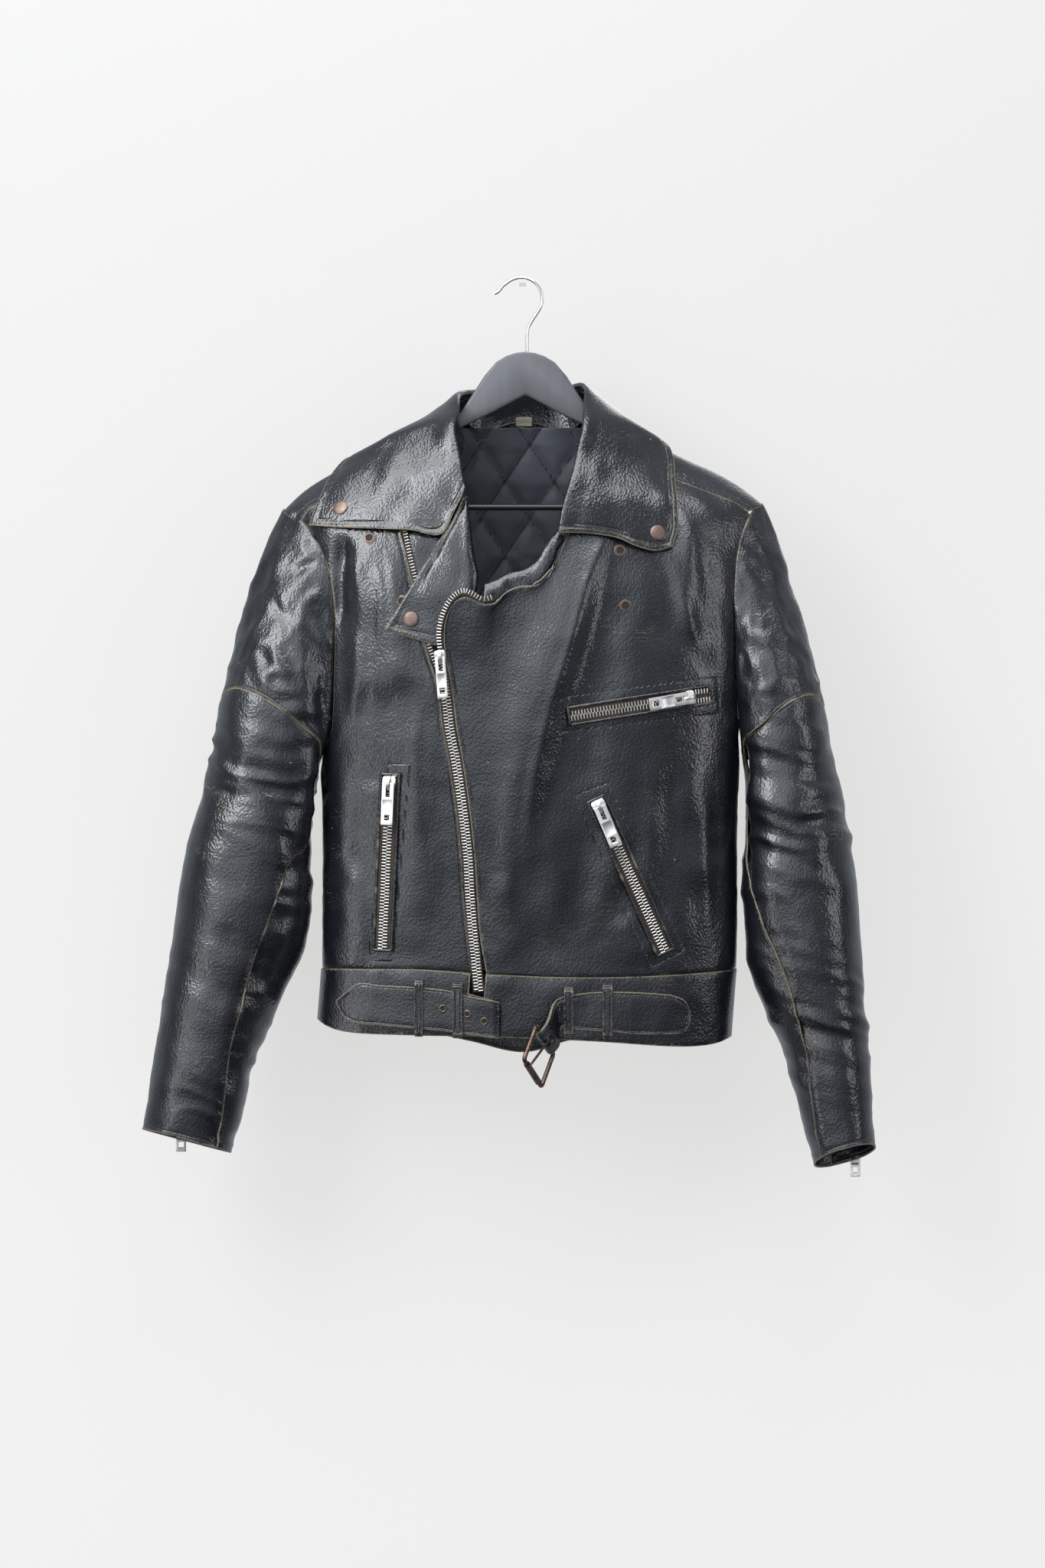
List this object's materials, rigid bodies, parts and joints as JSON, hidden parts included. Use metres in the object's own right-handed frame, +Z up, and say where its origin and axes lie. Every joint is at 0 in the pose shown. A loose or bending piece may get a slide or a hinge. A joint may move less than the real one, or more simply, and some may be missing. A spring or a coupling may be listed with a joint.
{
  "type": "leather jacket on a hanger",
  "caption": "Asymmetric-zip cropped leather biker jacket hanging on a wooden coat hanger, with wide snap-down collar, slanted zip pockets, waist belt and zipped cuffs.",
  "frame": {"origin": "underside of the hanger hook's crown, where it rests on its peg", "axes": "+Z up, -Y out of the jacket's front, +X towards the wearer's left sleeve"},
  "size_m": [0.6969, 0.1776, 0.8549],
  "materials": {
    "leather": "worn black cow leather, grained, satin",
    "lining": "black quilted satin",
    "zip_tape": "woven brown zip tape with nickel teeth",
    "zip_metal": "nickel-plated, lightly worn",
    "snap_copper": "aged copper-brown press stud",
    "buckle_metal": "antique brown plated steel",
    "eyelet_metal": "dark aged brass",
    "hanger_wood": "charcoal-stained wood, satin lacquer",
    "hanger_bar": "gloss black coated steel",
    "hook_chrome": "chromed steel wire",
    "label": "plain cream woven label on a leather tab"
  },
  "bodies": {
    "jacket": {"front_left": "leather", "front_right": "leather", "yoke_left": "leather", "yoke_right": "leather", "back": "leather", "lining_back": "lining", "waistband_left": "leather", "waistband_right": "leather", "waistband_back": "leather", "sleeve_cap_left": "leather", "sleeve_cap_right": "leather", "sleeve_outer_left": "leather", "sleeve_outer_right": "leather", "sleeve_inner_left": "leather", "sleeve_inner_right": "leather", "collar_fall": "leather", "collar_stand": "leather", "lapel_right": "leather", "facing_left": "leather", "neck_tab": "label", "belt_strap_right": "leather", "belt_strap_left": "leather", "belt_loop_1": "leather", "belt_loop_2": "leather", "belt_loop_3": "leather", "belt_loop_4": "leather", "belt_eyelet_1": "eyelet_metal", "belt_eyelet_2": "eyelet_metal", "belt_eyelet_3": "eyelet_metal", "main_zip_left": "zip_tape", "main_zip_right": "zip_tape", "main_zip_slider": "zip_metal", "chest_zip": "zip_tape", "chest_zip_slider": "zip_metal", "pocket_zip_right": "zip_tape", "pocket_zip_right_slider": "zip_metal", "pocket_zip_left": "zip_tape", "pocket_zip_left_slider": "zip_metal", "cuff_zip_right": "zip_tape", "cuff_zip_right_slider": "zip_metal", "cuff_zip_left": "zip_tape", "cuff_zip_left_slider": "zip_metal", "snap_cap_collar_left": "snap_copper", "snap_cap_collar_right": "snap_copper", "snap_cap_lapel": "snap_copper", "snap_socket_left_upper": "snap_copper", "snap_socket_left_lower": "snap_copper", "snap_socket_right_upper": "snap_copper", "snap_socket_right_lower": "snap_copper", "hanger_body": "hanger_wood", "hanger_bar": "hanger_bar", "hanger_hook": "hook_chrome"},
    "main_pull": {"main_zip_pull": "zip_metal"},
    "chest_pull": {"chest_zip_pull": "zip_metal"},
    "pocket_pull_right": {"pocket_zip_right_pull": "zip_metal"},
    "pocket_pull_left": {"pocket_zip_left_pull": "zip_metal"},
    "cuff_pull_right": {"cuff_zip_right_pull": "zip_metal"},
    "cuff_pull_left": {"cuff_zip_left_pull": "zip_metal"},
    "buckle": {"buckle_frame": "buckle_metal"},
    "prong": {"buckle_prong": "buckle_metal"}
  },
  "joints": [
    {"name": "main_pull_swing", "type": "hinge", "parent": "jacket", "child": "main_pull", "pos_m": [-0.07848, -0.0968, -0.36044], "axis": [-0.9907, 0.1141, -0.0743], "range_deg": [0, 100]},
    {"name": "chest_pull_swing", "type": "hinge", "parent": "jacket", "child": "chest_pull", "pos_m": [0.15647, -0.07983, -0.39787], "axis": [-0.1557, -0.063, 0.9858], "range_deg": [0, 100]},
    {"name": "pocket_pull_right_swing", "type": "hinge", "parent": "jacket", "child": "pocket_pull_right", "pos_m": [-0.12746, -0.08205, -0.47875], "axis": [-0.9476, 0.3167, 0.0428], "range_deg": [0, 100]},
    {"name": "pocket_pull_left_swing", "type": "hinge", "parent": "jacket", "child": "pocket_pull_left", "pos_m": [0.07192, -0.09192, -0.50079], "axis": [-0.9181, -0.055, -0.3926], "range_deg": [0, 100]},
    {"name": "cuff_pull_right_swing", "type": "hinge", "parent": "jacket", "child": "cuff_pull_right", "pos_m": [-0.32527, 0.01367, -0.80135], "axis": [0.9985, 0.0548, 0], "range_deg": [0, 100]},
    {"name": "cuff_pull_left_swing", "type": "hinge", "parent": "jacket", "child": "cuff_pull_left", "pos_m": [0.31538, 0.01139, -0.82314], "axis": [0.9392, -0.3433, 0], "range_deg": [0, 100]},
    {"name": "buckle_swing", "type": "hinge", "parent": "jacket", "child": "buckle", "pos_m": [0.02025, -0.084, -0.72025], "axis": [-0.3811, -0.6929, 0.6121], "range_deg": [0, 50]},
    {"name": "prong_swing", "type": "hinge", "parent": "buckle", "child": "prong", "pos_m": [0.02025, -0.084, -0.72025], "axis": [-0.3811, -0.6929, 0.6121], "range_deg": [0, 25]}
  ]
}
